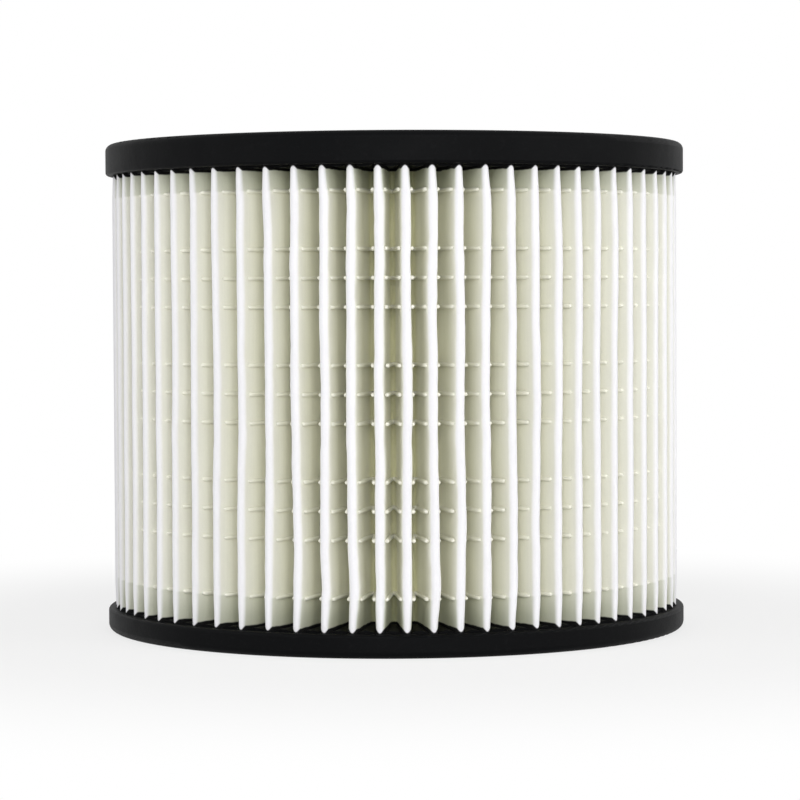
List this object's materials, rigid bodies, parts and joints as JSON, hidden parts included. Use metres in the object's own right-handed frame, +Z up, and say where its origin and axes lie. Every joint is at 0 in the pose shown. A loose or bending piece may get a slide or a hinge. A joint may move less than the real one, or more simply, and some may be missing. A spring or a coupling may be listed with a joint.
{
  "type": "pleated cartridge filter",
  "caption": "Open-ended pleated cartridge filter for a wet and dry vacuum: folded paper between cast rubber end caps, spaced by glue threads and carried on an inner cage.",
  "frame": {"origin": "centre of the base, on the surface the filter stands on", "axes": "+Z up along the tube's axis, -Y towards the front, +X to the right"},
  "size_m": [0.186, 0.186, 0.1555],
  "materials": {
    "cap_rubber": "matte cast rubber with a faint sheen",
    "filter_paper": "matte fibrous filter paper",
    "hot_melt_glue": "waxy cream hot-melt glue",
    "cage_plastic": "satin moulded plastic"
  },
  "bodies": {
    "root": {"top_end_cap": "cap_rubber", "bottom_end_cap": "cap_rubber", "pleated_paper": "filter_paper", "paper_seam": "hot_melt_glue", "support_cage": "cage_plastic", "spacer_bead_01": "hot_melt_glue", "spacer_bead_02": "hot_melt_glue", "spacer_bead_03": "hot_melt_glue", "spacer_bead_04": "hot_melt_glue", "spacer_bead_05": "hot_melt_glue", "spacer_bead_06": "hot_melt_glue", "spacer_bead_07": "hot_melt_glue", "spacer_bead_08": "hot_melt_glue", "spacer_bead_09": "hot_melt_glue", "spacer_bead_10": "hot_melt_glue", "spacer_bead_11": "hot_melt_glue"}
  },
  "joints": []
}
